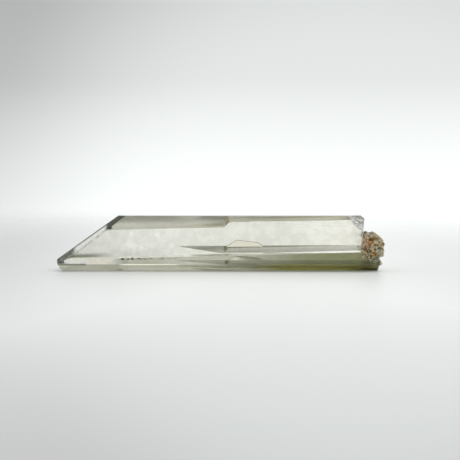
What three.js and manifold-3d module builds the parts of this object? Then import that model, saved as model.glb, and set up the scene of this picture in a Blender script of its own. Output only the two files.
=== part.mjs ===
// A chlorite quartz point lying on a table: one doubly tapered six-sided crystal, cut off
// slantwise by a single large rhombohedral face at the tip, and broken at the base, where a
// knob of small iron-stained crystals is still attached. Millimetres, +Z up. X runs along the
// crystal's c axis with the tip at -X, and -Y is the front.

import * as THREE from 'three'
import { mergeVertices } from 'three/addons/utils/BufferGeometryUtils.js'
import Module from 'manifold-3d'

const wasm = await Module()
wasm.setup()

// Section of the prism, seen along the c axis
const HEIGHT = 10.35                  // table to the top prism face
const SIXTH = 30                      // degrees of the prism faces above and below level
const FRONT_EDGE = { y: -4, z: 1.2 }  // where the lower front face meets the bevel under it
const FRONT_BEVEL_ELEVATION = -55     // direction that the bevel under the front face looks
const FRONT_RIDGE_Z = 3.16            // ridge between the two front faces, at the middle
const FRONT_TAPER = 1.5               // degrees that the upper front face leans to the tip
const RIDGE_FACE_DEPTH = 0.1          // of the hair-thin face that takes that ridge
const FOOT_FACE_DEPTH = 0.022         // of the one that takes the edge over the bevel
const BACK_FOOT_Y = 0.9               // where the lower back face meets the table
const BACK_RIDGE_Z = 7.47             // ridge between the two back faces, at the middle
const BACK_TAPER = 1                  // degrees that the upper back face leans to the tip

// Tip, at the -X end
const TOP_START_X = -19.6             // where the large tip face leaves the top face
const TIP_SLOPE = 35.7                // degrees of the large tip face above level
const TIP_ROUND = { x: -30.15, z: 2.1, radius: 0.76 }
const NOSE_ELEVATIONS = [28, 2, -12]  // directions of the small faces that round the tip
const UNDERSIDE = { x: -29.2, slope: 21 }  // small face that rises from the table to the tip
const RHOMB = 38.2                    // degrees between a prism face and the tip face over it
const BACK_RHOMB_X = -30.4            // where the small tip face leaves the lower back face
const CHAMFER = { depth: 0.41, spread: 1.1 }  // narrow face from the large tip face to the front

// Growth features on the back faces
const LEDGE = { x: 0.85, depth: 0.85 }
const FOOT_STEP = { x: -8.6, z: 3.2, depth: 0.82, elevation: -57, shelfDip: 7.5 }
const IMPRINT = {
  outline: [[-0.2, 2.3], [3.3, 4.3], [7.5, 3.8], [9.4, 2.3]],  // x and height of each corner
  depth: 0.13,
  slope: 55,
}

// Broken end, at +X
const SHOULDER = { x: 30.6, z: 3.1, undercut: 10 }  // low remnant of the base, under the knob
const BREAK = { x: 27.15, y: 0, z: 6 }              // broken face above the shoulder
const BREAK_DIRECTION = [0.985, -0.05, -0.17]
const STEP = { x: 27, y: -5, z: 4.1 }               // broken top of the shoulder
const STEP_DIRECTION = [0.58, -0.2, 0.79]
const CORNER = { x: 27.5, y: 0, z: 10.1 }           // chip off the top edge of the broken face
const CORNER_DIRECTION = [0.64, 0.05, 0.77]
const SCOOPS = [                                    // balls that dip in where chips came away
  { x: 30.95, y: -5.5, z: 15.3, radius: 9 },
  { x: 32.1, y: 4.6, z: 8.2, radius: 5.0 },
  { x: 31.5, y: -3.8, z: 0.5, radius: 1.45 },
  { x: 34.2, y: 1.6, z: -1.2, radius: 4.6 },
]

// Knob on the broken end
const SEAT_GAP = 0.3                  // between the knob and the crystal that carries it
const KNOB = { x: 28.4, y: -2.1, z: 4.6, radiusX: 2.6, radiusY: 3.1, radiusZ: 2.85 }
const KNOB_POINTS = 110               // small crystals over its outer side
const POINT_SPREAD = 1.15             // how far they reach, as a share of half the ball
const POINT_FOOT_DEPTH = 0.7          // how deep each one is rooted
const POINT_ROOT = 0.25               // least height of its foot over the knob's seat
const POINT_LEAN = 1.3                // how much their directions scatter
const POINT_RADIUS = [0.28, 0.55]
const POINT_LENGTH = [0.25, 0.5]
const LARGE_POINT = { foot: [29.7, -3.1, 4.5], aim: [0.8, -0.5, -0.2], radius: 0.8, length: 0.6 }
const GOLDEN_ANGLE = 2.39996          // turn from one small crystal to the next

const vec = (x, y, z) => new THREE.Vector3(x, y, z)
const rad = THREE.MathUtils.degToRad
const lerp = THREE.MathUtils.lerp
const FRONT = -1
const BACK = 1

// Seeded numbers from 0 to 1, so that every build gives the same crystal.
function seeded(seed) {
  let state = seed
  return () => {
    state = (state * 16807) % 2147483647
    return state / 2147483647
  }
}

function toSolid(geometry) {
  const bare = geometry.clone()
  bare.deleteAttribute('normal')
  bare.deleteAttribute('uv')
  const merged = mergeVertices(bare, 1e-5)
  return new wasm.Manifold(new wasm.Mesh({
    numProp: 3,
    vertProperties: new Float32Array(merged.attributes.position.array),
    triVerts: new Uint32Array(merged.index.array),
  }))
}

function toGeometry(solid) {
  const mesh = solid.getMesh()
  const geometry = new THREE.BufferGeometry()
  geometry.setAttribute('position', new THREE.BufferAttribute(mesh.vertProperties, mesh.numProp))
  geometry.setIndex(new THREE.BufferAttribute(mesh.triVerts, 1))
  geometry.computeVertexNormals()
  return geometry
}

// Outward direction of a face that runs along the c axis: side is FRONT or BACK, elevation is
// in degrees above level, and taper leans it towards the tip.
function faceDirection(side, elevation, taper = 0) {
  const level = Math.cos(rad(taper))
  return vec(
    -Math.sin(rad(taper)),
    side * Math.cos(rad(elevation)) * level,
    Math.sin(rad(elevation)) * level,
  )
}

// Outward direction of the tip face that stands over a prism face.
function rhombDirection(prismDirection) {
  return prismDirection.clone().multiplyScalar(Math.cos(rad(RHOMB)))
    .add(vec(-Math.sin(rad(RHOMB)), 0, 0))
}

// Everything on the outer side of a plane, as a block with one face on it.
function beyond(direction, point) {
  const size = 160
  const block = new THREE.BoxGeometry(size, size, size).translate(0, 0, size / 2)
  const turn = new THREE.Quaternion()
    .setFromUnitVectors(vec(0, 0, 1), direction.clone().normalize())
  block.applyQuaternion(turn).translate(point.x, point.y, point.z)
  return toSolid(block)
}

// The convex solid that a list of [direction, point] faces encloses.
function enclosedBy(faces) {
  let solid = toSolid(new THREE.BoxGeometry(120, 60, 60))
  for (const [direction, point] of faces) {
    solid = solid.subtract(beyond(direction, point))
  }
  return solid
}

const frontEdge = vec(0, FRONT_EDGE.y, FRONT_EDGE.z)
const lowerFront = faceDirection(FRONT, -SIXTH)
const footBevel = faceDirection(FRONT, FRONT_BEVEL_ELEVATION)
const lowerBack = faceDirection(BACK, -SIXTH)
const upperFront = faceDirection(FRONT, SIXTH, FRONT_TAPER)
const upperBack = faceDirection(BACK, SIXTH, BACK_TAPER)
const largeTip = vec(-Math.sin(rad(TIP_SLOPE)), 0, Math.cos(rad(TIP_SLOPE)))
const topStart = vec(TOP_START_X, 0, HEIGHT)

// A point of the lower front or lower back face at a given x and height.
const onLowerFront = (x, z) => vec(x, FRONT_EDGE.y - (z - FRONT_EDGE.z) * Math.tan(rad(SIXTH)), z)
const onLowerBack = (x, z) => vec(x, BACK_FOOT_Y + z * Math.tan(rad(SIXTH)), z)
const frontRidge = onLowerFront(0, FRONT_RIDGE_Z)

// The narrow face that takes the edge between the large tip face and the upper front face, and
// that widens towards the tip.
function chamferFace() {
  const edge = new THREE.Vector3().crossVectors(largeTip, upperFront).normalize()
  const direction = largeTip.clone().add(upperFront).normalize()
    .addScaledVector(edge, -Math.sin(rad(CHAMFER.spread))).normalize()
  const corner = vec(TOP_START_X, frontRidge.y, HEIGHT)
  corner.y += frontRidge.clone().sub(corner).dot(upperFront) / upperFront.y
  return [direction, corner.addScaledVector(direction, -CHAMFER.depth)]
}

// Faces that round the tip, between the large tip face and the small one under it.
function noseFaces() {
  const centre = vec(TIP_ROUND.x, 0, TIP_ROUND.z)
  return NOSE_ELEVATIONS.map((elevation) => {
    const direction = vec(-Math.cos(rad(elevation)), 0, Math.sin(rad(elevation)))
    return [direction, centre.clone().addScaledVector(direction, TIP_ROUND.radius)]
  })
}

// A hair-thin face that takes the edge between two faces, at a depth under a point of the edge.
function hairFace(first, second, point, depth) {
  const direction = first.clone().add(second).normalize()
  return [direction, point.clone().addScaledVector(direction, -depth)]
}

function crystalBody() {
  const undercut = vec(Math.cos(rad(SHOULDER.undercut)), 0, -Math.sin(rad(SHOULDER.undercut)))
  return enclosedBy([
    [vec(0, 0, -1), vec(0, 0, 0)],
    [vec(0, 0, 1), vec(0, 0, HEIGHT)],
    [footBevel, frontEdge],
    hairFace(footBevel, lowerFront, frontEdge, FOOT_FACE_DEPTH),
    [lowerFront, frontEdge],
    hairFace(lowerFront, upperFront, frontRidge, RIDGE_FACE_DEPTH),
    [upperFront, frontRidge],
    [lowerBack, onLowerBack(0, 0)],
    [upperBack, onLowerBack(0, BACK_RIDGE_Z)],
    [largeTip, topStart],
    chamferFace(),
    ...noseFaces(),
    [vec(-Math.sin(rad(UNDERSIDE.slope)), 0, -Math.cos(rad(UNDERSIDE.slope))),
      vec(UNDERSIDE.x, 0, 0)],
    [rhombDirection(lowerBack), onLowerBack(BACK_RHOMB_X, 0)],
    [undercut, vec(SHOULDER.x, 0, SHOULDER.z)],
  ])
}

// The growth step: towards the tip, the upper back face lies one step deeper.
function ledgeCut() {
  const deeper = onLowerBack(0, BACK_RIDGE_Z).addScaledVector(upperBack, -LEDGE.depth)
  const riser = vec(LEDGE.x, deeper.y, deeper.z)
  return enclosedBy([
    [upperBack.clone().negate(), deeper],
    [vec(1, -upperBack.y, -upperBack.z), riser],
  ])
}

// The step along the foot of the lower back face: under its riser the face lies deeper. It thins
// out to a point towards the tip, on a shelf that dips away from the tip.
function footStepCut() {
  const top = onLowerBack(FOOT_STEP.x, FOOT_STEP.z)
  const dip = rad(FOOT_STEP.shelfDip)
  return enclosedBy([
    [faceDirection(BACK, FOOT_STEP.elevation).negate(), top],
    [lowerBack.clone().negate(), top.clone().addScaledVector(lowerBack, -FOOT_STEP.depth)],
    [vec(-Math.sin(dip), 0, -Math.cos(dip)), top],
  ])
}

// The imprint of a neighbour crystal on the lower back face: a shallow mark with a flat floor
// and four sloping sides.
function imprintCut() {
  const outline = IMPRINT.outline.map(([x, z]) => onLowerBack(x, z))
  const middle = outline.reduce((sum, corner) => sum.add(corner), vec(0, 0, 0))
    .divideScalar(outline.length)
  const faces = [
    [lowerBack.clone().negate(), middle.clone().addScaledVector(lowerBack, -IMPRINT.depth)],
    [lowerBack, middle.clone().addScaledVector(lowerBack, 1)],
  ]
  outline.forEach((corner, i) => {
    const next = outline[(i + 1) % outline.length]
    const side = new THREE.Vector3().crossVectors(next.clone().sub(corner), lowerBack).normalize()
    if (side.dot(corner.clone().sub(middle)) < 0) side.negate()
    const sloped = side.multiplyScalar(Math.cos(rad(IMPRINT.slope)))
      .addScaledVector(lowerBack, -Math.sin(rad(IMPRINT.slope)))
    faces.push([sloped, corner])
  })
  return enclosedBy(faces)
}

// The break's two faces, as a direction out of the crystal and a point of each.
const breakFaces = [
  [vec(...BREAK_DIRECTION).normalize(), vec(BREAK.x, BREAK.y, BREAK.z)],
  [vec(...STEP_DIRECTION).normalize(), vec(STEP.x, STEP.y, STEP.z)],
]

// The space that broke away over the shoulder, from a given distance off both of those faces.
function breakSpace(clearance) {
  return enclosedBy(breakFaces.map(([outward, point]) => (
    [outward.clone().negate(), point.clone().addScaledVector(outward, clearance)]
  )))
}

// What broke away at the base: everything over the shoulder, a corner, and shell-like scoops.
function breakCuts() {
  const topCorner = beyond(vec(...CORNER_DIRECTION), vec(CORNER.x, CORNER.y, CORNER.z))
  const scoops = SCOOPS.map(({ x, y, z, radius }) => (
    toSolid(new THREE.IcosahedronGeometry(radius, 9).translate(x, y, z))
  ))
  return [breakSpace(0), topCorner, ...scoops]
}

function quartzCrystal() {
  let solid = crystalBody()
  for (const cut of [ledgeCut(), footStepCut(), imprintCut(), ...breakCuts()]) {
    solid = solid.subtract(cut)
  }
  return solid
}

// One small quartz point: a six-sided prism with a six-sided pyramid on it, its foot at the
// origin, growing along +Z.
function smallPoint(radius, length) {
  const prism = new THREE.CylinderGeometry(radius, radius * 1.1, length, 6)
    .translate(0, length / 2, 0)
  const tip = new THREE.ConeGeometry(radius * 1.04, radius * 0.9, 6)
    .translate(0, length + radius * 0.44, 0)
  return toSolid(prism.rotateX(Math.PI / 2)).add(toSolid(tip.rotateX(Math.PI / 2)))
}

// The lump under the small points: a ball squashed to the knob's size, with a knobbly surface.
function knobLump() {
  const geometry = new THREE.IcosahedronGeometry(1, 5)
  const place = geometry.getAttribute('position')
  const corner = new THREE.Vector3()
  for (let i = 0; i < place.count; i++) {
    corner.fromBufferAttribute(place, i)
    const swell = 0.94 + 0.04 * Math.sin(6.1 * corner.x + 2.3 * corner.z)
      + 0.04 * Math.sin(7.7 * corner.y - 3.9 * corner.z + 1.3)
    place.setXYZ(i,
      KNOB.x + corner.x * KNOB.radiusX * swell,
      KNOB.y + corner.y * KNOB.radiusY * swell,
      KNOB.z + corner.z * KNOB.radiusZ * swell)
  }
  return toSolid(geometry)
}

function placedPoint(radius, length, foot, aim) {
  const turn = new THREE.Quaternion().setFromUnitVectors(vec(0, 0, 1), aim)
  const placed = new THREE.Matrix4().compose(foot, turn, vec(1, 1, 1))
  return smallPoint(radius, length).transform(placed.elements)
}

// The lump, one larger point, and small points in a spiral over the lump's outer side.
function baseKnob() {
  const random = seeded(41)
  const scatter = () => (random() - 0.5) * POINT_LEAN
  const large = LARGE_POINT
  const largeAim = vec(...large.aim).normalize()
  let solid = knobLump()
    .add(placedPoint(large.radius, large.length, vec(...large.foot), largeAim))
  for (let i = 0; i < KNOB_POINTS; i++) {
    const across = 1 - (i + 0.5) / KNOB_POINTS * POINT_SPREAD
    const around = i * GOLDEN_ANGLE
    const ring = Math.sqrt(1 - across * across)
    const outward = vec(across, ring * Math.cos(around), ring * Math.sin(around))
    const radius = lerp(...POINT_RADIUS, random())
    const length = lerp(...POINT_LENGTH, random())
    const aim = outward.clone().add(vec(scatter(), scatter(), scatter())).normalize()
    const foot = vec(
      KNOB.x + outward.x * (KNOB.radiusX - POINT_FOOT_DEPTH),
      KNOB.y + outward.y * (KNOB.radiusY - POINT_FOOT_DEPTH),
      KNOB.z + outward.z * (KNOB.radiusZ - POINT_FOOT_DEPTH),
    )
    const rooted = breakFaces.every(([outward, point]) => (
      foot.clone().sub(point).dot(outward) > SEAT_GAP + POINT_ROOT
    ))
    if (rooted) solid = solid.add(placedPoint(radius, length, foot, aim))
  }
  return solid
}

const crystal = quartzCrystal()
const knob = baseKnob().intersect(breakSpace(SEAT_GAP))

const group = new THREE.Group()

function addMesh(name, solid, material) {
  const mesh = new THREE.Mesh(toGeometry(solid), new THREE.MeshStandardMaterial(material))
  mesh.name = name
  group.add(mesh)
}

addMesh('quartz_crystal', crystal, { color: 0xdfe2d6, roughness: 0.05, metalness: 0 })
addMesh('base_knob', knob, { color: 0x9a7f55, roughness: 0.85, metalness: 0 })

// The origin is the middle of the footprint, on the table.
const extent = new THREE.Box3().setFromObject(group)
const middle = extent.getCenter(new THREE.Vector3())
for (const mesh of group.children) {
  mesh.position.set(-middle.x, -middle.y, -extent.min.z)
}

export default group
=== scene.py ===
import math

import bmesh
import bpy
import numpy as np
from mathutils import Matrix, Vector


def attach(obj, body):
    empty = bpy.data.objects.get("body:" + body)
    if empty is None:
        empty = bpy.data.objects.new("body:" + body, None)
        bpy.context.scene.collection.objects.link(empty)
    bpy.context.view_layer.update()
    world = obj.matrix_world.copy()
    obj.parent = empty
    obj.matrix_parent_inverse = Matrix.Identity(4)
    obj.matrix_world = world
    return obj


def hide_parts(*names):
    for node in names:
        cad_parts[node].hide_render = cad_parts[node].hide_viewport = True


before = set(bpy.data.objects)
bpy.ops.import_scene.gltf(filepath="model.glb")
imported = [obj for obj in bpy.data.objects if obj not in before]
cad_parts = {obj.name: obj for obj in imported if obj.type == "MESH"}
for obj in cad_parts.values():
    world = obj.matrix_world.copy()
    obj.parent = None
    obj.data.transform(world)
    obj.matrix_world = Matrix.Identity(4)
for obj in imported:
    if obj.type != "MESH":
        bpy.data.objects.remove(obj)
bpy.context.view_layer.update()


# ---- Quartz crystal --------------------------------------------------------------------------
# The point itself: one clear crystal of quartz, faintly green from chlorite, which grew as one
# piece. Its edges are rounded by a hair only. Its tip and the rim of its large tip face are dark
# with chlorite dust and painted shade, the painted shade standing for the dark outlines and dark
# refraction there, and olive films cling to its foot.

MM = 0.001
EDGE_ROUND = 0.12 * MM
SHARP = math.radians(11)

QUARTZ_IOR = 1.544
BODY_TINT = (0.958, 0.945, 0.88)       # what is left of white light in the clear body
BODY_DENSITY = 100.0                   # per metre
DUST_AND_SHADE = (0.040, 0.042, 0.020)           # dark olive: chlorite dust, and painted shade on the tip and the rim's edges
RUST = (0.20, 0.12, 0.05)              # iron stain in the cracks
FOOT_OLIVE = (0.074, 0.072, 0.008)     # strongest tint of the lowest front face
FOOT_FILM = (0.95, 0.95, 0.80)         # faint tint all along it
FLANK_OLIVE = (0.07, 0.074, 0.018)     # strongest tint of the face above it
FLANK_FILM = (0.40, 0.39, 0.31)        # thin film on that face, from near the tip to the base
RISER_DUST = (0.27, 0.28, 0.12)        # dust along the foot of the low step at the back
SHARD = (0.52, 0.51, 0.46)             # crushed quartz on the broken faces
DARK_SHARD = (0.12, 0.12, 0.10)        # the same where dust has settled in the chipped corner
CLOUDED = (0.83, 0.83, 0.80)           # body where it is cloudier, and where it is clearer
CLEAR = (0.98, 0.98, 0.97)
HAZE = (0.72, 0.715, 0.67)             # haze over the middle of the body
WARM = (0.98, 0.955, 0.90)             # faint warmth near the base
BEIGE = (0.82, 0.75, 0.62)             # stain on the floor of the imprint
SHADE_BAND = (0.075, 0.085, 0.052)           # painted shade: dark band above the front ridge near the tip, for the shaded table seen through
TIP_REFLECTION_PINK = (0.90, 0.78, 0.66)              # faint pink under it: a painted reflection of the tip's faces
SHOULDER_OLIVE = (0.10, 0.095, 0.045)  # crushed and stained quartz under the knob

TIP = (-30.8, 0.0, 2.2)                # middle of the rounded tip, seen from the front
SMUDGE = (-21.2, 0.0, 12.9)            # dust on the rim's inner edge, its height times 1.6
BLOW = (26.5, -6.5, 2.0)               # where the break started, centre of its shell-like rings
SPOTS = (                              # clear spots in the haze, seen from the front
    (-17.1, 0.0, 7.0), (-12.1, 0.0, 6.8), (-15.0, 0.0, 4.4), (-9.4, 0.0, 4.8),
)

# Where dust, a film, a stain or painted shade or reflection fades in: none at the first number,
# full at the second
RIM_TOP_X = (-22.4, -21.6)
RIM_FOOT_X = (-27.2, -28.2)
UNDER_TIP_X = (-25.2, -25.8)
SHADE_BAND_X = (-16.0, -25.5)
THIN_SHADE_BAND_X = (-6.0, -18.0)
IMPRINT_X = ((-1.5, -1.0), (10.0, 9.5))
IMPRINT_Z = (2.9, 3.1)
TIP_REFLECTION_X = ((-25.3, -24.7), (-20.6, -21.3))
FLANK_FILM_X = (-21.3, -18.5)
DARK_START_X = ((-19.2, -17.8), (-9.0, -14.0))
FLANK_OLIVE_X = (-6.0, 19.0)
FOOT_OLIVE_X = (-25.0, 13.0)
RIDGE_X = (5.0, -3.0)
HAZE_X = ((-26.0, 6.0), (22.0, 14.0))
WARM_X = (10.0, 24.0)
VEIL_X = (24.2, 26.8)
CRUSHED_X = (26.2, 27.8)
BREAK_X = (20.0, 22.0)
CHIP_Y, CHIP_Z = (2.0, 0.0), (6.8, 7.6)
RISER_Z = (3.0, 2.2)
ETCHED_Y, ETCHED_Z = (0.5, 1.5), (7.3, 7.7)

POLISH = 0.012                         # roughness of the bare faces, and what else adds to it
ROUGH_DUST_AND_SHADE, ROUGH_BREAK, ROUGH_ETCHED, ROUGH_FLANK, ROUGH_FOOT = 0.5, 0.22, 0.14, 0.06, 0.16
COVER_DUST_AND_SHADE, COVER_VEIL, COVER_CRUSHED, COVER_RISER = 0.88, 0.3, 0.5, 0.24  # light each one stops
RING_WIDTH = 5.0                       # of the break's rings, in radians per millimetre


def node(tree, kind, inputs=(), **settings):
    """A shader node of that kind. inputs pairs a socket with a value or with another output."""
    made = tree.nodes.new(kind)
    for name, value in settings.items():
        setattr(made, name, value)
    for socket, value in dict(inputs).items():
        if isinstance(value, bpy.types.NodeSocket):
            tree.links.new(value, made.inputs[socket])
        else:
            made.inputs[socket].default_value = value
    return made


def maths(tree, operation, *terms):
    """The result of one arithmetic step on numbers or outputs."""
    return node(tree, "ShaderNodeMath", enumerate(terms), operation=operation).outputs[0]


def both(tree, *masks):
    """Where all the masks are: their product."""
    product = masks[0]
    for mask in masks[1:]:
        product = maths(tree, "MULTIPLY", product, mask)
    return product


def either(tree, *masks):
    """Where any of the masks is: the strongest of them."""
    strongest = masks[0]
    for mask in masks[1:]:
        strongest = maths(tree, "MAXIMUM", strongest, mask)
    return strongest


def rise(tree, value, low, high, bottom=0.0, top=1.0):
    """A smooth step: bottom where value is at low, top where it is at high."""
    inputs = {"Value": value, "From Min": low, "From Max": high,
              "To Min": bottom, "To Max": top}
    made = node(tree, "ShaderNodeMapRange", inputs, interpolation_type="SMOOTHSTEP")
    return made.outputs["Result"]


def near(tree, place, centre, full, none):
    """1 within a distance full of a point, 0 past the distance none."""
    gap = node(tree, "ShaderNodeVectorMath", {0: place, 1: centre}, operation="DISTANCE")
    return rise(tree, gap.outputs["Value"], none, full)


def blend(tree, amount, first, second):
    """first where amount is 0, second where it is 1. Both are colours or colour outputs."""
    inputs = {"Factor": amount}
    for socket, colour in (("A", first), ("B", second)):
        is_output = isinstance(colour, bpy.types.NodeSocket)
        inputs[socket] = colour if is_output else (*colour, 1.0)
    made = node(tree, "ShaderNodeMix", data_type="RGBA")
    for socket in made.inputs:
        if socket.enabled and socket.name in inputs:
            value = inputs[socket.name]
            if isinstance(value, bpy.types.NodeSocket):
                tree.links.new(value, socket)
            else:
                socket.default_value = value
    return next(out for out in made.outputs if out.enabled)


def grain(tree, place, scale, detail=3.0, roughness=0.55, distortion=0.0):
    """Cloudy noise from 0 to 1. scale is in cycles per millimetre of place."""
    inputs = {"Vector": place, "Scale": scale, "Detail": detail, "Roughness": roughness,
              "Distortion": distortion}
    return node(tree, "ShaderNodeTexNoise", inputs).outputs["Fac"]


def stretched(tree, place, factors):
    """A place with each of its coordinates multiplied, so that a pattern on it is drawn out."""
    inputs = {0: place, 1: factors}
    return node(tree, "ShaderNodeVectorMath", inputs, operation="MULTIPLY").outputs[0]


def new_material(name):
    """A material with its node tree, its Principled shader, and its place in millimetres."""
    made = bpy.data.materials.new(name)
    made.use_nodes = True
    tree = made.node_tree
    place = node(tree, "ShaderNodeTexCoord").outputs["Object"]
    inputs = {0: place, "Scale": 1 / MM}
    place = node(tree, "ShaderNodeVectorMath", inputs, operation="SCALE").outputs[0]
    return made, tree, tree.nodes["Principled BSDF"], place


def flat_face(mesh, toward):
    """The broadest face that looks toward a direction, within a few degrees: its own outward
    direction, and how far out along it the face lies, in millimetres."""
    toward = Vector(toward).normalized()
    fitting = [face for face in mesh.polygons if face.normal.dot(toward) > 0.99]
    broadest = max(fitting, key=lambda face: face.area)
    return broadest.normal.copy(), broadest.normal.dot(broadest.center) / MM


def depth_under(tree, place, face):
    """How deep a place lies under a flat face, in millimetres."""
    direction, height = face
    along = node(tree, "ShaderNodeVectorMath", {0: place, 1: direction}, operation="DOT_PRODUCT")
    return maths(tree, "SUBTRACT", height, along.outputs["Value"])


crystal_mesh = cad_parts["quartz_crystal"].data.copy()
shape = bmesh.new()
shape.from_mesh(crystal_mesh)
bmesh.ops.remove_doubles(shape, verts=shape.verts, dist=0.001 * MM)
bmesh.ops.dissolve_limit(shape, angle_limit=math.radians(0.3), verts=shape.verts,
                         edges=shape.edges)
shape.to_mesh(crystal_mesh)
shape.free()
crystal_mesh.shade_smooth()
crystal_mesh.set_sharp_from_angle(angle=SHARP)

quartz, tree, shader, place = new_material("clear_quartz")
x, y, z = node(tree, "ShaderNodeSeparateXYZ", {0: place}).outputs

# Depths under the faces that carry the dust, films and stains, each found by the way it looks
upper_front = depth_under(tree, place, flat_face(crystal_mesh, (0.0, -0.87, 0.5)))
lower_front = depth_under(tree, place, flat_face(crystal_mesh, (0.0, -0.87, -0.5)))
foot_bevel = depth_under(tree, place, flat_face(crystal_mesh, (0.0, -0.57, -0.82)))
lower_back = depth_under(tree, place, flat_face(crystal_mesh, (0.0, 0.87, -0.5)))
foot_riser = depth_under(tree, place, flat_face(crystal_mesh, (0.0, 0.545, -0.84)))
large_tip = depth_under(tree, place, flat_face(crystal_mesh, (-0.58, 0.0, 0.81)))
chamfer = depth_under(tree, place, flat_face(crystal_mesh, (-0.36, -0.51, 0.78)))

speckle = grain(tree, place, 2.6, detail=6.0, roughness=0.7)
clouds = grain(tree, place, 0.55, detail=4.0, roughness=0.6, distortion=0.4)
patchy = grain(tree, place, 1.1, detail=4.0, roughness=0.6)

# Dust and painted shade on the rim of the large tip face: it covers the rim's upper end and the
# tip, and between them it only follows the rim's two edges. It is partly chlorite dust and partly
# painted shade, standing for the dark outlines and dark refraction at the tip and along the rim
on_rim = rise(tree, chamfer, 0.16, 0.08)
upper_end = both(tree, on_rim, rise(tree, x, *RIM_TOP_X), rise(tree, speckle, 0.22, 0.36))
outer_edge = both(tree, rise(tree, chamfer, 0.30, 0.12), rise(tree, large_tip, 0.30, 0.12),
                  rise(tree, speckle, 0.25, 0.40, 0.6, 1.0))
inner_edge = both(tree, rise(tree, chamfer, 0.26, 0.10), rise(tree, upper_front, 0.12, 0.05),
                  rise(tree, patchy, 0.44, 0.60, 0.15, 0.6))
from_front = stretched(tree, place, (1.0, 0.0, 1.0))
from_tip = node(tree, "ShaderNodeVectorMath", {0: from_front, 1: TIP}, operation="DISTANCE")
from_tip = from_tip.outputs["Value"]
from_tip = maths(tree, "ADD", from_tip, rise(tree, patchy, 0.35, 0.65, -0.4, 0.4))
round_tip = both(tree, rise(tree, from_tip, 1.5, 1.1), rise(tree, y, -1.5, -2.0))
rim_foot = both(tree, on_rim, rise(tree, x, *RIM_FOOT_X), rise(tree, large_tip, 1.3, 0.8))
at_tip = both(tree, either(tree, round_tip, rim_foot),
              rise(tree, z, 1.2, 1.6), rise(tree, speckle, 0.36, 0.56, 0.75, 1.0))
under_flank = both(tree, rise(tree, foot_bevel, 0.16, 0.05), rise(tree, lower_front, 0.16, 0.05),
                   rise(tree, x, *UNDER_TIP_X, 0.0, 0.7))
flattened = stretched(tree, place, (1.0, 0.0, 1.6))
smudge = both(tree, near(tree, flattened, SMUDGE, 0.3, 0.75),
              rise(tree, upper_front, 0.2, 0.1), rise(tree, speckle, 0.30, 0.45))
dust_and_shade = either(tree, upper_end, outer_edge, inner_edge, at_tip, under_flank, smudge)

# Films and stains on the faces, which tint what is seen through them; among them a band of
# painted shade and a patch of painted reflection
on_upper = rise(tree, upper_front, 0.1, 0.05)
# Painted shade: a dark band on the upper front face along the ridge, strongest towards the tip
shade_band = either(tree, both(tree, rise(tree, lower_front, 1.35, 0.45), rise(tree, x, *SHADE_BAND_X)),
              both(tree, rise(tree, lower_front, 2.0, 0.4, 0.0, 0.35), rise(tree, x, *THIN_SHADE_BAND_X)))
shade_band = both(tree, shade_band, on_upper)
at_imprint = both(tree, rise(tree, z, *IMPRINT_Z), *[rise(tree, x, *end) for end in IMPRINT_X])
imprint_floor = both(tree, rise(tree, lower_back, 0.07, 0.1), rise(tree, lower_back, 0.2, 0.17),
                     at_imprint)
imprint_side = both(tree, rise(tree, lower_back, 0.01, 0.03), rise(tree, lower_back, 0.13, 0.11),
                    at_imprint, rise(tree, y, 1.0, 1.5))
riser_dust = both(tree, rise(tree, foot_riser, 0.1, 0.04), rise(tree, foot_riser, -0.1, -0.04),
                  rise(tree, z, *RISER_Z), rise(tree, y, 0.5, 1.0))
on_front_foot = both(tree, rise(tree, foot_bevel, 0.08, 0.03), rise(tree, y, 0.5, -1.0))
on_flank = both(tree, rise(tree, lower_front, 0.2, 0.1), rise(tree, upper_front, 0.16, 0.22),
                rise(tree, foot_bevel, 0.03, 0.10))
ridge = both(tree, rise(tree, upper_front, 0.22, 0.14), rise(tree, lower_front, 0.22, 0.14),
             rise(tree, x, *RIDGE_X), rise(tree, patchy, 0.35, 0.6, 0.6, 1.0))
# Painted reflection: a pinkish patch on the face below the ridge, near the tip
tip_reflection = both(tree, on_flank, *[rise(tree, x, *end) for end in TIP_REFLECTION_X])
dark_start = both(tree, on_flank, rise(tree, x, *DARK_START_X[0]),
                  rise(tree, x, *DARK_START_X[1], 0.0, 0.3))
haze = both(tree, *[rise(tree, x, *end) for end in HAZE_X],
            rise(tree, clouds, 0.35, 0.62, 0.6, 1.0), on_upper)
uneven = rise(tree, clouds, 0.35, 0.62, 0.95, 1.0)

# The broken base: crushed quartz on its faces, darkest in the chipped corner
facing = node(tree, "ShaderNodeNewGeometry").outputs["True Normal"]
endward = maths(tree, "ABSOLUTE", node(tree, "ShaderNodeSeparateXYZ", {0: facing}).outputs["X"])
broken_face = both(tree, rise(tree, endward, 0.16, 0.24), rise(tree, x, *BREAK_X))
chip = both(tree, rise(tree, y, *CHIP_Y), rise(tree, z, *CHIP_Z))
shard = both(tree, broken_face, rise(tree, speckle, 0.42, 0.56, 1.0, 0.4))
veil = both(tree, on_upper, rise(tree, x, *VEIL_X),
            rise(tree, patchy, 0.35, 0.60, 0.25, 0.9))
crushed = both(tree, rise(tree, lower_front, 0.2, 0.1), rise(tree, x, *CRUSHED_X),
               rise(tree, speckle, 0.35, 0.60, 0.9, 0.4))

# From the clouded body outwards, each tint lies over the ones before it
colour = blend(tree, rise(tree, clouds, 0.44, 0.60), CLOUDED, CLEAR)
colour = blend(tree, haze, colour, HAZE)
colour = blend(tree, both(tree, rise(tree, x, *WARM_X), on_upper), colour, WARM)
spots = either(tree, *[near(tree, from_front, spot, 0.15, 0.75) for spot in SPOTS])
colour = blend(tree, both(tree, on_upper, spots), colour, (1.0, 1.0, 1.0))
colour = blend(tree, imprint_floor, colour, BEIGE)
colour = blend(tree, maths(tree, "MULTIPLY", imprint_side, 0.3), colour, RUST)
# painted shade band above the ridge
colour = blend(tree, shade_band, colour, SHADE_BAND)
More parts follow.
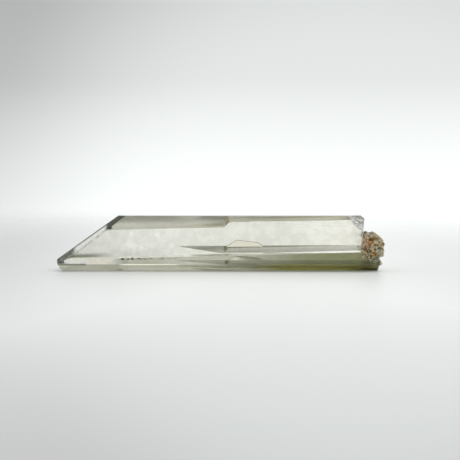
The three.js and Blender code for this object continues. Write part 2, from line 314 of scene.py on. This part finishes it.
# painted reflection of the tip's faces
colour = blend(tree, tip_reflection, colour, TIP_REFLECTION_PINK)
colour = blend(tree, both(tree, on_flank, rise(tree, x, *FLANK_FILM_X)), colour, FLANK_FILM)
colour = blend(tree, dark_start, colour, FLANK_OLIVE)
olive = both(tree, on_flank, rise(tree, x, *FLANK_OLIVE_X), uneven)
colour = blend(tree, olive, colour, FLANK_OLIVE)
colour = blend(tree, on_front_foot, colour, FOOT_FILM)
colour = blend(tree, both(tree, on_front_foot, rise(tree, x, *FOOT_OLIVE_X)), colour, FOOT_OLIVE)
colour = blend(tree, ridge, colour, FLANK_FILM)
colour = blend(tree, riser_dust, colour, RISER_DUST)
colour = blend(tree, veil, colour, SHARD)
colour = blend(tree, shard, colour, blend(tree, chip, SHARD, DARK_SHARD))
colour = blend(tree, crushed, colour, SHOULDER_OLIVE)
# Painted shade with the dust: the tip and the rim's ends and edges go dark over all the tints
colour = blend(tree, dust_and_shade, colour, DUST_AND_SHADE)
tree.links.new(colour, shader.inputs["Base Color"])

# Shell-like rings run over the broken faces, round the place of the blow
ripple = grain(tree, place, 1.7, detail=5.0, roughness=0.6)
from_blow = node(tree, "ShaderNodeVectorMath", {0: place, 1: BLOW}, operation="DISTANCE")
wander = maths(tree, "MULTIPLY", ripple, RING_WIDTH)
rings = maths(tree, "MULTIPLY_ADD", from_blow.outputs["Value"], RING_WIDTH, wander)
ripple = maths(tree, "MULTIPLY_ADD", maths(tree, "SINE", rings), 0.12, ripple)
relief = maths(tree, "MULTIPLY", ripple, rise(tree, broken_face, 0.0, 1.0, 0.02, 1.0))
bump = node(tree, "ShaderNodeBump", {"Height": relief, "Strength": 0.5, "Distance": 0.25 * MM})
tree.links.new(bump.outputs["Normal"], shader.inputs["Normal"])

# Broken faces are finely rough, and so is the upper part of the back; the other grown faces are
# glossy. What is dusty, painted with shade or crushed also stops some light
etched = both(tree, rise(tree, z, *ETCHED_Z), rise(tree, y, *ETCHED_Y))
matte = either(tree, *[maths(tree, "MULTIPLY", mask, amount) for mask, amount in (
    (dust_and_shade, ROUGH_DUST_AND_SHADE), (broken_face, ROUGH_BREAK), (etched, ROUGH_ETCHED),
    (on_flank, ROUGH_FLANK), (on_front_foot, ROUGH_FOOT))])
tree.links.new(maths(tree, "ADD", matte, POLISH), shader.inputs["Roughness"])
shards = both(tree, shard, rise(tree, chip, 0.0, 1.0, 0.2, 0.62))
cover = either(tree, shards, *[maths(tree, "MULTIPLY", mask, amount) for mask, amount in (
    (dust_and_shade, COVER_DUST_AND_SHADE), (veil, COVER_VEIL), (crushed, COVER_CRUSHED),
    (riser_dust, COVER_RISER))])
clear = maths(tree, "SUBTRACT", 1.0, cover)
tree.links.new(clear, shader.inputs["Transmission Weight"])
shader.inputs["IOR"].default_value = QUARTZ_IOR

absorption = node(tree, "ShaderNodeVolumeAbsorption",
                  {"Color": (*BODY_TINT, 1.0), "Density": BODY_DENSITY})
tree.links.new(absorption.outputs[0], tree.nodes["Material Output"].inputs["Volume"])

crystal_mesh.materials.clear()
crystal_mesh.materials.append(quartz)
crystal = bpy.data.objects.new("crystal_point", crystal_mesh)
bpy.context.scene.collection.objects.link(crystal)
rounding = crystal.modifiers.new("edge_round", "BEVEL")
rounding.width = EDGE_ROUND
rounding.segments = 3
rounding.limit_method = "ANGLE"
rounding.angle_limit = SHARP
rounding.harden_normals = True
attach(crystal, "root")
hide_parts("quartz_crystal")


# ---- Knob: the lump --------------------------------------------------------------------------
# The crumbly lump of matrix that still clings to the broken base, stained orange-brown by iron.
# It sits on the break and on the shoulder, and the small crystals are bedded in it.

KNOB = {"x": 28.25, "y": -2.12, "z": 4.45, "rx": 2.55, "ry": 3.1, "rz": 2.65}
SEAT_FACES = (                          # broken faces the knob sits on: direction, point
    ((0.985, -0.05, -0.17), (27.0, -0.02, 6.0)),
    ((0.58, -0.2, 0.79), (26.85, -5.02, 4.1)),
)
SEAT = 0.08                             # the knob's last skin over the broken faces
LUMP_ROWS, LUMP_COLUMNS = 150, 260
CRUMB_SIZES = (                         # of the domes on its skin: how many, width, height
    (70, 0.36, 0.11), (300, 0.17, 0.075), (1500, 0.07, 0.03),
)
OLIVE_MATRIX = (0.56, 0.45, 0.19)
TAN_MATRIX = (0.86, 0.68, 0.37)
PINK_MATRIX = (0.82, 0.68, 0.53)
BROWN = (0.82, 0.54, 0.32)
ORANGE = (0.58, 0.25, 0.02)
GREY_GREEN = (0.40, 0.41, 0.23)
# dark stain of some crystal crumbs, and painted shade in the lump's hollows
CREVICE_SHADE_AND_DARK_STAIN = (0.075, 0.048, 0.018)
PALE_QUARTZ = (0.90, 0.80, 0.62)
BROWN_PATCH = (27.2, -4.7, 4.9)         # stained places on the knob
PINK_TOP = (28.2, -3.5, 7.0)
ORANGE_SPOT = (28.3, -5.0, 5.7)
ORANGE_FOOT = (28.9, -4.7, 3.4)
GREEN_FOOT = (29.6, -4.4, 2.0)


def seat_on_break(points):
    """Points past a broken face are laid back onto it, along that face's direction."""
    for direction, foot in SEAT_FACES:
        outward = np.array(direction) / np.linalg.norm(direction)
        height = (points - np.array(foot)) @ outward - SEAT
        points = points - np.minimum(height, 0.0)[..., None] * outward
    return points


def knob_surface(ball):
    """Places on the lump for directions of length 1. Each set of crumbs swells the radius in
    round domes, by the square root of 1 - (distance to the nearest crumb / its size)^2, never
    below 0. Also gives how hollow each place is, from 0 on the crumbs to 1 between them."""
    rng = np.random.default_rng(5)
    swell = np.full(len(ball), 0.86)
    hollow = np.zeros(len(ball))
    for count, size, height in CRUMB_SIZES:
        centres = rng.normal(size=(count, 3))
        centres /= np.linalg.norm(centres, axis=1)[:, None]
        sizes = size * rng.uniform(0.6, 1.3, count)
        near_crumb = ((ball[:, None, :] - centres[None]) ** 2).sum(-1) / sizes ** 2
        dome = np.maximum(1.0 - near_crumb.min(1), 0.0) ** 0.5
        swell += height * dome
        hollow = np.maximum(hollow, (1.0 - dome) * (size / CRUMB_SIZES[0][1]))
    radii = np.array([KNOB["rx"], KNOB["ry"], KNOB["rz"]])
    centre = np.array([KNOB["x"], KNOB["y"], KNOB["z"]])
    return seat_on_break(centre + ball * radii * swell[:, None]), hollow


def knob_lump():
    """The lump's surface on a grid of latitude and longitude, closed by a fan at each pole."""
    v = np.linspace(0.0, np.pi, LUMP_ROWS)[1:-1]
    u = np.linspace(0.0, 2 * np.pi, LUMP_COLUMNS, endpoint=False)
    v, u = np.meshgrid(v, u, indexing="ij")
    ball = np.stack([np.sin(v) * np.cos(u), np.sin(v) * np.sin(u), np.cos(v)], -1).reshape(-1, 3)
    ball = np.vstack([ball, [[0, 0, 1.0], [0, 0, -1.0]]])
    points, hollow = knob_surface(ball)
    rows = LUMP_ROWS - 2
    i, j = np.meshgrid(np.arange(rows - 1), np.arange(LUMP_COLUMNS), indexing="ij")
    here, right = i * LUMP_COLUMNS + j, i * LUMP_COLUMNS + (j + 1) % LUMP_COLUMNS
    sides = np.stack([here, here + LUMP_COLUMNS, right + LUMP_COLUMNS, right], -1).reshape(-1, 4)
    j = np.arange(LUMP_COLUMNS)
    k = (j + 1) % LUMP_COLUMNS
    last = (rows - 1) * LUMP_COLUMNS
    top = np.stack([np.full_like(j, len(ball) - 2), j, k], -1)
    bottom = np.stack([np.full_like(j, len(ball) - 1), last + k, last + j], -1)
    return points, sides.tolist() + top.tolist() + bottom.tolist(), hollow


def add_piece(name, points, faces, material, tones=None):
    """A mesh from points in millimetres, riding on the part. tones is one number a point."""
    mesh = bpy.data.meshes.new(name)
    mesh.from_pydata((np.asarray(points) * MM).tolist(), [], faces)
    mesh.update()
    if tones is not None:
        mesh.attributes.new("tone", "FLOAT", "POINT").data.foreach_set("value", tones)
    mesh.materials.append(material)
    piece = bpy.data.objects.new(name, mesh)
    bpy.context.scene.collection.objects.link(piece)
    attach(piece, "root")
    return piece


def stained_material(name, sparkle):
    """Stained matrix or crystal: the stain follows the place on the knob, and sparkle makes it
    glassier. The tone of each crystal crumb makes it paler or darker; on the lump, tone is how
    hollow a place is, and its hollows get painted shade."""
    made, tree, shader, place = new_material(name)
    tone = node(tree, "ShaderNodeAttribute", attribute_name="tone").outputs["Fac"]
    patches = grain(tree, place, 0.8, detail=3.0, roughness=0.6)
    fine = grain(tree, place, 3.4, detail=5.0, roughness=0.7)
    colour = blend(tree, rise(tree, patches, 0.42, 0.58), OLIVE_MATRIX, TAN_MATRIX)
    colour = blend(tree, near(tree, place, PINK_TOP, 0.5, 1.4), colour, PINK_MATRIX)
    colour = blend(tree, near(tree, place, BROWN_PATCH, 0.9, 1.5), colour, BROWN)
    colour = blend(tree, near(tree, place, GREEN_FOOT, 1.2, 2.2), colour, GREY_GREEN)
    colour = blend(tree, either(tree, near(tree, place, ORANGE_SPOT, 0.5, 1.0),
                                near(tree, place, ORANGE_FOOT, 0.4, 0.9)), colour, ORANGE)
    if sparkle:
        colour = blend(tree, rise(tree, tone, 0.55, 0.95, 0.0, 0.85), colour, PALE_QUARTZ)
        colour = blend(tree, rise(tree, tone, 0.30, 0.04, 0.0, 0.85), colour, CREVICE_SHADE_AND_DARK_STAIN)
        colour = blend(tree, rise(tree, fine, 0.55, 0.40, 0.0, 0.25), colour, CREVICE_SHADE_AND_DARK_STAIN)
    else:
        # Painted shade: the lump is darker in the hollows between its crumbs
        colour = blend(tree, rise(tree, tone, 0.10, 0.55), colour, CREVICE_SHADE_AND_DARK_STAIN)
    tree.links.new(colour, shader.inputs["Base Color"])
    shader.inputs["Roughness"].default_value = 0.25 if sparkle else 0.6
    bump = node(tree, "ShaderNodeBump", {"Height": fine, "Strength": 0.4, "Distance": 0.1 * MM})
    tree.links.new(bump.outputs["Normal"], shader.inputs["Normal"])
    return made, shader


matrix, _ = stained_material("stained_matrix", sparkle=False)
points, faces, hollow = knob_lump()
lump = add_piece("knob_matrix", points, faces, matrix, hollow)
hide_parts("base_knob")


# ---- Knob: small quartz points ---------------------------------------------------------------
# Tiny six-sided quartz crystals that grew out of the lump on all its open sides, stained like
# it. They leave a place free for the one larger point.

POINT_COUNT = 150
POINT_RADII = (0.14, 0.46)
POINT_LENGTHS = (0.7, 1.3)              # half of the prism's length, in radii
POINT_SUNK = 0.12                       # how deep their middles sit in the lump
POINT_LEAN = 0.45                       # how far they stray from straight out
POINT_WEAR = 0.08                       # how far their corners stray, in radii
LARGE_POINT = {"foot": (29.5, -3.6, 3.85), "aim": (0.55, -0.8, 0.1), "radius": 0.85,
               "length": 0.75}


def hexagonal_point():
    """A six-sided prism from -1 to 1 along its third axis, with a pyramid up to 1.8 on it."""
    turn = np.arange(6) * np.pi / 3
    ring = np.stack([np.cos(turn), np.sin(turn)], -1)
    points = np.vstack([np.column_stack([ring, np.full(6, level)]) for level in (-1.0, 1.0)]
                       + [[[0.0, 0.0, 1.8]]])
    faces = [[5, 4, 3, 2, 1, 0]]
    faces += [[k, (k + 1) % 6, 6 + (k + 1) % 6, 6 + k] for k in range(6)]
    faces += [[6 + k, 6 + (k + 1) % 6, 12] for k in range(6)]
    return points, faces


def scattered(shape, feet, aims, radii, lengths, turns, jitter, rng):
    """Copies of a shape, each with its foot, its aim (its third axis), its radius, its length
    and its turn about the aim. jitter moves every corner at random, in radii."""
    points, faces = shape
    aims = aims / np.linalg.norm(aims, axis=1)[:, None]
    side = np.cross(aims, [0.31, 0.87, 0.38])
    side /= np.linalg.norm(side, axis=1)[:, None]
    other = np.cross(aims, side)
    across = np.cos(turns)[:, None] * side + np.sin(turns)[:, None] * other
    along = np.cross(aims, across)
    local = points[None] + rng.uniform(-jitter, jitter, (len(feet), *points.shape))
    placed = feet[:, None] + radii[:, None, None] * (
        local[..., :1] * across[:, None] + local[..., 1:2] * along[:, None])
    placed = placed + lengths[:, None, None] * local[..., 2:] * aims[:, None]
    step = len(points)
    joined = [[n * step + k for k in face] for n in range(len(feet)) for face in faces]
    return placed.reshape(-1, 3), joined


def on_knob(count, spread, rng):
    """Random places on the lump's outer side and the directions out of it there."""
    outward = rng.normal(size=(count * 4, 3))
    outward /= np.linalg.norm(outward, axis=1)[:, None]
    places, _ = knob_surface(outward)
    free = np.ones(len(places), bool)
    for direction, foot in SEAT_FACES:
        normal = np.array(direction) / np.linalg.norm(direction)
        free &= (places - np.array(foot)) @ normal > spread
    free &= np.linalg.norm(places - LARGE_POINT["foot"], axis=1) > LARGE_POINT["radius"] + 0.25
    return places[free][:count], outward[free][:count]


stained_quartz, shader = stained_material("stained_quartz", sparkle=True)
shader.inputs["Transmission Weight"].default_value = 0.25

rng = np.random.default_rng(23)
feet, outward = on_knob(POINT_COUNT, 0.35, rng)
radii = rng.uniform(*POINT_RADII, len(feet)) * rng.uniform(0.6, 1.0, len(feet))
points, faces = scattered(hexagonal_point(), feet - outward * POINT_SUNK,
                          outward + rng.normal(scale=POINT_LEAN, size=feet.shape), radii,
                          radii * rng.uniform(*POINT_LENGTHS, len(feet)),
                          rng.uniform(0, np.pi, len(feet)), POINT_WEAR, rng)
add_piece("knob_points", points, faces, stained_quartz,
          np.repeat(rng.uniform(0, 1, len(feet)), 13))


# ---- Knob: crumbs ----------------------------------------------------------------------------
# Rough crumbs of stained quartz between the points. Some have come to rest on the shoulder's
# top and front, where they hide the seam under the lump.

CRUMB_COUNT, SHELF_COUNT, SIDE_COUNT = 800, 70, 420
CRUMB_RADII = (0.07, 0.23)
CRUMB_WEAR = 0.25                       # how far their corners stray, in radii
SHELF = ((27.4, 30.4), (-5.2, -3.7))    # range of x and y of the crumbs on the shoulder's top
SIDE = ((26.6, 30.3), (1.2, 4.0))       # range of x and height of those on its front
SIDE_START = (29.6, 31.4)               # x and height added up, over which they start
FLANK_FOOT = (-4.02, 1.2)               # y and height of the foot of the shoulder's front face


def rough_crumb():
    """A cube with its corners cut off: eight triangles and six squares set on edge."""
    corners = np.array([[a, b, 0] for a in (-1, 1) for b in (-1, 1)], float)
    points = np.vstack([corners, corners[:, [0, 2, 1]], corners[:, [2, 0, 1]]])
    centre_of = {axis * sign: np.flatnonzero(points[:, axis - 1] == sign)
                 for axis in (1, 2, 3) for sign in (-1, 1)}
    faces = []
    for side, members in centre_of.items():
        across = [a for a in range(3) if a != abs(side) - 1]
        angle = np.arctan2(points[members, across[1]], points[members, across[0]])
        faces.append(members[np.argsort(angle)])
    for signs in ((a, b, c) for a in (-1, 1) for b in (-1, 1) for c in (-1, 1)):
        faces.append(np.flatnonzero((points * signs).sum(1) == 2))
    outward = []
    for face in faces:
        a, b, c = points[face[:3]]
        flip = np.dot(np.cross(b - a, c - b), points[face].mean(0)) < 0
        outward.append([int(k) for k in (face[::-1] if flip else face)])
    return points, outward


def flank(level):
    """y of the shoulder's front face at a height: it leans out by 30 degrees from upright."""
    return FLANK_FOOT[0] - (level - FLANK_FOOT[1]) * math.tan(math.radians(30))


feet, _ = on_knob(CRUMB_COUNT, 0.1, rng)
slope, seat = np.array(SEAT_FACES[1][0]), np.array(SEAT_FACES[1][1])
shelf = np.stack([rng.uniform(*SHELF[0], SHELF_COUNT), rng.uniform(*SHELF[1], SHELF_COUNT),
                  np.zeros(SHELF_COUNT)], -1)
shelf[:, 2] = seat[2] - ((shelf - seat)[:, :2] @ slope[:2]) / slope[2]
shelf = shelf[shelf[:, 1] > flank(shelf[:, 2]) - 0.1]
side = np.stack([rng.uniform(*SIDE[0], SIDE_COUNT), np.zeros(SIDE_COUNT),
                 rng.uniform(*SIDE[1], SIDE_COUNT)], -1)
side[:, 1] = flank(side[:, 2]) + 0.03
on_side = (side - seat) @ slope < 0
side = side[on_side & (side[:, 0] + side[:, 2] > rng.uniform(*SIDE_START, SIDE_COUNT))]
feet = np.vstack([feet, shelf, side])
radii = rng.uniform(*CRUMB_RADII, len(feet))
points, faces = scattered(rough_crumb(), feet, rng.normal(size=feet.shape), radii, radii,
                          rng.uniform(0, np.pi, len(feet)), CRUMB_WEAR, rng)
add_piece("knob_crumbs", points, faces, stained_quartz,
          np.repeat(rng.uniform(0, 1, len(feet)) ** 1.3, 12))


# ---- Knob: the larger point ------------------------------------------------------------------
# One larger quartz point at the knob's outer side, clouded grey-green, with its foot bedded in
# the lump.

SMOKY_GREEN = (0.62, 0.66, 0.52)

smoky, tree, shader, place = new_material("smoky_point")
shader.inputs["Base Color"].default_value = (*SMOKY_GREEN, 1.0)
shader.inputs["Transmission Weight"].default_value = 0.5
shader.inputs["Roughness"].default_value = 0.22
shader.inputs["IOR"].default_value = QUARTZ_IOR
one = {key: np.array([LARGE_POINT[key]], float) for key in LARGE_POINT}
points, faces = scattered(hexagonal_point(), one["foot"], one["aim"], one["radius"],
                          one["length"], np.array([0.3]), 0.05, rng)
add_piece("knob_large_point", points, faces, smoky)


# ---- Chlorite flakes -------------------------------------------------------------------------
# Dark flakes of chlorite caught in the crystal while it grew, in a row just inside the ridge
# between its two front faces.

FLAKE_COUNT = 80
FLAKE_ROW = ((-18.7, -8.0), 2.34)       # range of x, then height at the row's start
FLAKE_CLIMB = 0.016                     # the row rises with the ridge towards the base
FLAKE_DEPTH = 0.09                      # how far inside the front face their middles lie
FLAKE_RADII = (0.04, 0.14)
FLAKE_THICKNESS = 0.3                   # in radii
FLAKE_WEAR = 0.2                        # how far their corners stray, in radii
DARK_CHLORITE = (0.05, 0.045, 0.03)

chlorite, tree, shader, place = new_material("chlorite_flakes")
shader.inputs["Base Color"].default_value = (*DARK_CHLORITE, 1.0)
shader.inputs["Roughness"].default_value = 0.5

reach = rng.uniform(0, 1, FLAKE_COUNT) ** 1.5
place_x = FLAKE_ROW[0][0] + reach * (FLAKE_ROW[0][1] - FLAKE_ROW[0][0])
place_z = FLAKE_ROW[1] + FLAKE_CLIMB * (place_x - FLAKE_ROW[0][0])
place_z += rng.normal(scale=0.07, size=FLAKE_COUNT)
feet = np.stack([place_x, flank(place_z) + FLAKE_DEPTH, place_z], -1)
radii = rng.uniform(*FLAKE_RADII, FLAKE_COUNT) * (1.1 - 0.6 * reach)
points, faces = scattered(rough_crumb(), feet, rng.normal(size=feet.shape), radii,
                          radii * FLAKE_THICKNESS, rng.uniform(0, np.pi, FLAKE_COUNT),
                          FLAKE_WEAR, rng)
add_piece("chlorite_flakes", points, faces, chlorite)


# ---- Crumbs on the back steps ----------------------------------------------------------------
# Crumbs of stained quartz that settled on the lower back face, beside the imprint and along the
# foot of the low step. They show at the front through the crystal.

BACK_FOOT = 0.88                            # y where the lower back face meets the table
IMPRINT_END = ((7.6, 10.2), (2.2, 3.5), 14) # range of x and height, and how many
STEP_FOOT = ((3.6, 6.9), (1.40, 2.31), 26)  # range of x, then y and height, and how many
EMBEDDED = 0.03                             # how far their middles lie out of the face
GRAIN_RADII = (0.025, 0.06)

across, levels, count = IMPRINT_END
beside = np.stack([rng.uniform(*across, count), np.zeros(count), rng.uniform(*levels, count)], -1)
beside[:, 1] = BACK_FOOT + beside[:, 2] * math.tan(math.radians(30)) + EMBEDDED
across, (depth, level), count = STEP_FOOT
below = np.stack([rng.uniform(*across, count), np.full(count, depth), np.full(count, level)], -1)
feet = np.vstack([beside, below])
radii = rng.uniform(*GRAIN_RADII, len(feet))
points, faces = scattered(rough_crumb(), feet, rng.normal(size=feet.shape), radii, radii,
                          rng.uniform(0, np.pi, len(feet)), CRUMB_WEAR, rng)
add_piece("back_crumbs", points, faces, stained_quartz,
          np.repeat(rng.uniform(0, 0.7, len(feet)), 12))


# ---- Table -----------------------------------------------------------------------------------
# A plain pale table that the crystal lies on. It fades out far behind it, so that it runs into
# the backdrop with no horizon.

TABLE_RADIUS = 0.6
TABLE_COLOUR = (0.86, 0.86, 0.855)
TABLE_NEAR = (0.48, 0.485, 0.48)       # towards the viewer, where less light falls
NEAR_Y = (-20.0, -190.0)               # where it starts and where it is full, towards the front,
LEFT_X = (0.0, -60.0)                  # to the left
RIGHT_X = (10.0, 60.0)                 # and, fainter, to the right
FADE_REACH = (10.0, 350.0)             # distances at which the table starts and ends its fading
TABLE_CORNERS = 96

tabletop, tree, shader, place = new_material("pale_table")
x, y, z = node(tree, "ShaderNodeSeparateXYZ", {0: place}).outputs
nearer = either(tree, rise(tree, y, *NEAR_Y), rise(tree, x, *LEFT_X, 0.0, 0.85),
                rise(tree, x, *RIGHT_X, 0.0, 0.4))
tree.links.new(blend(tree, nearer, TABLE_COLOUR, TABLE_NEAR), shader.inputs["Base Color"])
shader.inputs["Roughness"].default_value = 0.4
reach = node(tree, "ShaderNodeVectorMath", {0: place}, operation="LENGTH").outputs["Value"]
see_through = node(tree, "ShaderNodeBsdfTransparent")
fade = node(tree, "ShaderNodeMixShader",
            {0: rise(tree, reach, *FADE_REACH), 1: shader.outputs[0], 2: see_through.outputs[0]})
tree.links.new(fade.outputs[0], tree.nodes["Material Output"].inputs["Surface"])

around = np.linspace(0, 2 * np.pi, TABLE_CORNERS, endpoint=False)
rim_points = np.stack([TABLE_RADIUS * np.cos(around), TABLE_RADIUS * np.sin(around),
                       np.full(TABLE_CORNERS, -0.03 * MM)], -1)
table_mesh = bpy.data.meshes.new("table")
table_mesh.from_pydata(rim_points.tolist(), [], [list(range(TABLE_CORNERS))])
table_mesh.materials.append(tabletop)
table = bpy.data.objects.new("table", table_mesh)
bpy.context.scene.collection.objects.link(table)


# ---- Studio light ----------------------------------------------------------------------------
# A bright backdrop all round, strongest behind and overhead, dimmer towards the viewer, with a
# few broad brighter patches, and one soft lamp from the back right.

GLOW_BY_HEIGHT = (                     # height of a direction, from -1 to 1, and glow
    (-1, 0.4), (-0.3, 0.5), (-0.2, 0.6), (-0.1, 0.75), (-0.04, 0.82), (0.0, 0.72),
    (0.03, 0.63), (0.06, 0.52), (0.12, 0.47), (0.17, 1.1), (0.42, 1.1), (0.58, 0.95),
    (0.78, 0.95), (0.88, 0.75), (1, 0.75),
)
FRONT_GLOW = 0.5                       # strength towards the viewer, as a share of the back
GLOW_PATCHES = (                       # direction, its cosine at the edge and where full, glow
    ((0.10, 1.0, -0.03), (0.955, 0.995), 0.3),
    ((0.0, -0.358, 0.934), (0.9903, 0.998), 0.8),
    ((0.0, -0.53, 0.85), (0.93, 0.99), 0.26),
)
SIDE_GLOW = 0.5                        # extra on both sides, above the table
BACKDROP_TINT = (0.97, 1.0, 0.985)
LAMP = {"place": (0.15, 0.1, 0.6), "size": 0.5, "watts": 1.2}

world = bpy.data.worlds.new("studio")
bpy.context.scene.world = world
world.use_nodes = True
tree = world.node_tree
view = node(tree, "ShaderNodeTexCoord").outputs["Generated"]
split = node(tree, "ShaderNodeSeparateXYZ", {0: view})
height = maths(tree, "MULTIPLY", maths(tree, "ADD", split.outputs["Z"], 1.0), 0.5)
ramp = node(tree, "ShaderNodeValToRGB", {0: height})
ramp.color_ramp.interpolation = "LINEAR"
stops = ramp.color_ramp.elements
while len(stops) < len(GLOW_BY_HEIGHT):
    stops.new(0.5)
for stop, (level, strength) in zip(stops, GLOW_BY_HEIGHT):
    stop.position = (level + 1) / 2
    stop.color = (strength, strength, strength, 1.0)
glow = maths(tree, "MULTIPLY", ramp.outputs["Color"],
             rise(tree, split.outputs["Y"], -0.6, 0.8, FRONT_GLOW, 1.0))
for direction, (edge, full), strength in GLOW_PATCHES:
    inputs = {0: view, 1: Vector(direction).normalized()}
    nearness = node(tree, "ShaderNodeVectorMath", inputs, operation="DOT_PRODUCT")
    patch = rise(tree, nearness.outputs["Value"], edge, full, 0.0, strength)
    glow = maths(tree, "ADD", glow, patch)
aside = maths(tree, "ABSOLUTE", split.outputs["X"])
at_side = both(tree, rise(tree, aside, 0.45, 0.7), rise(tree, split.outputs["Z"], 0.12, 0.35))
glow = maths(tree, "MULTIPLY_ADD", at_side, SIDE_GLOW, glow)
tree.links.new(glow, tree.nodes["Background"].inputs["Strength"])
tree.nodes["Background"].inputs["Color"].default_value = (*BACKDROP_TINT, 1.0)

lamp_data = bpy.data.lights.new("soft_lamp", "AREA")
lamp_data.shape = "DISK"
lamp_data.size = LAMP["size"]
lamp_data.energy = LAMP["watts"]
lamp = bpy.data.objects.new("soft_lamp", lamp_data)
bpy.context.scene.collection.objects.link(lamp)
lamp.location = LAMP["place"]
lamp.rotation_mode = "QUATERNION"
lamp.rotation_quaternion = (-Vector(LAMP["place"])).to_track_quat("-Z", "Y")
lamp.visible_camera = False
lamp.visible_transmission = False
lamp.visible_glossy = False


# ---- Camera ----------------------------------------------------------------------------------
# Level with the crystal and a little above it, looking straight at its front.

CAMERA_HEIGHT = 3.0                    # degrees above level
CAMERA_DISTANCE = 250 * MM
FRAME_WIDTH = 87.4 * MM                # what the frame holds at the crystal's front
TARGET = Vector((1.752, -3.021, 7.752)) * MM

elevation = math.radians(CAMERA_HEIGHT)
back = Vector((0.0, -math.cos(elevation), math.sin(elevation)))
camera_data = bpy.data.cameras.new("camera")
camera = bpy.data.objects.new("camera", camera_data)
bpy.context.scene.collection.objects.link(camera)
camera.location = TARGET + back * CAMERA_DISTANCE
camera.rotation_mode = "QUATERNION"
camera.rotation_quaternion = (-back).to_track_quat("-Z", "Y")
camera_data.sensor_width = 36
camera_data.lens = 36 * CAMERA_DISTANCE / FRAME_WIDTH
camera_data.clip_start = 0.005
camera_data.clip_end = 10
bpy.context.scene.camera = camera

# Light crosses the crystal many times before it leaves
scene = bpy.context.scene
scene.view_settings.view_transform = "Standard"
scene.cycles.max_bounces = 32
scene.cycles.transmission_bounces = 32
scene.cycles.glossy_bounces = 32
scene.cycles.transparent_max_bounces = 16
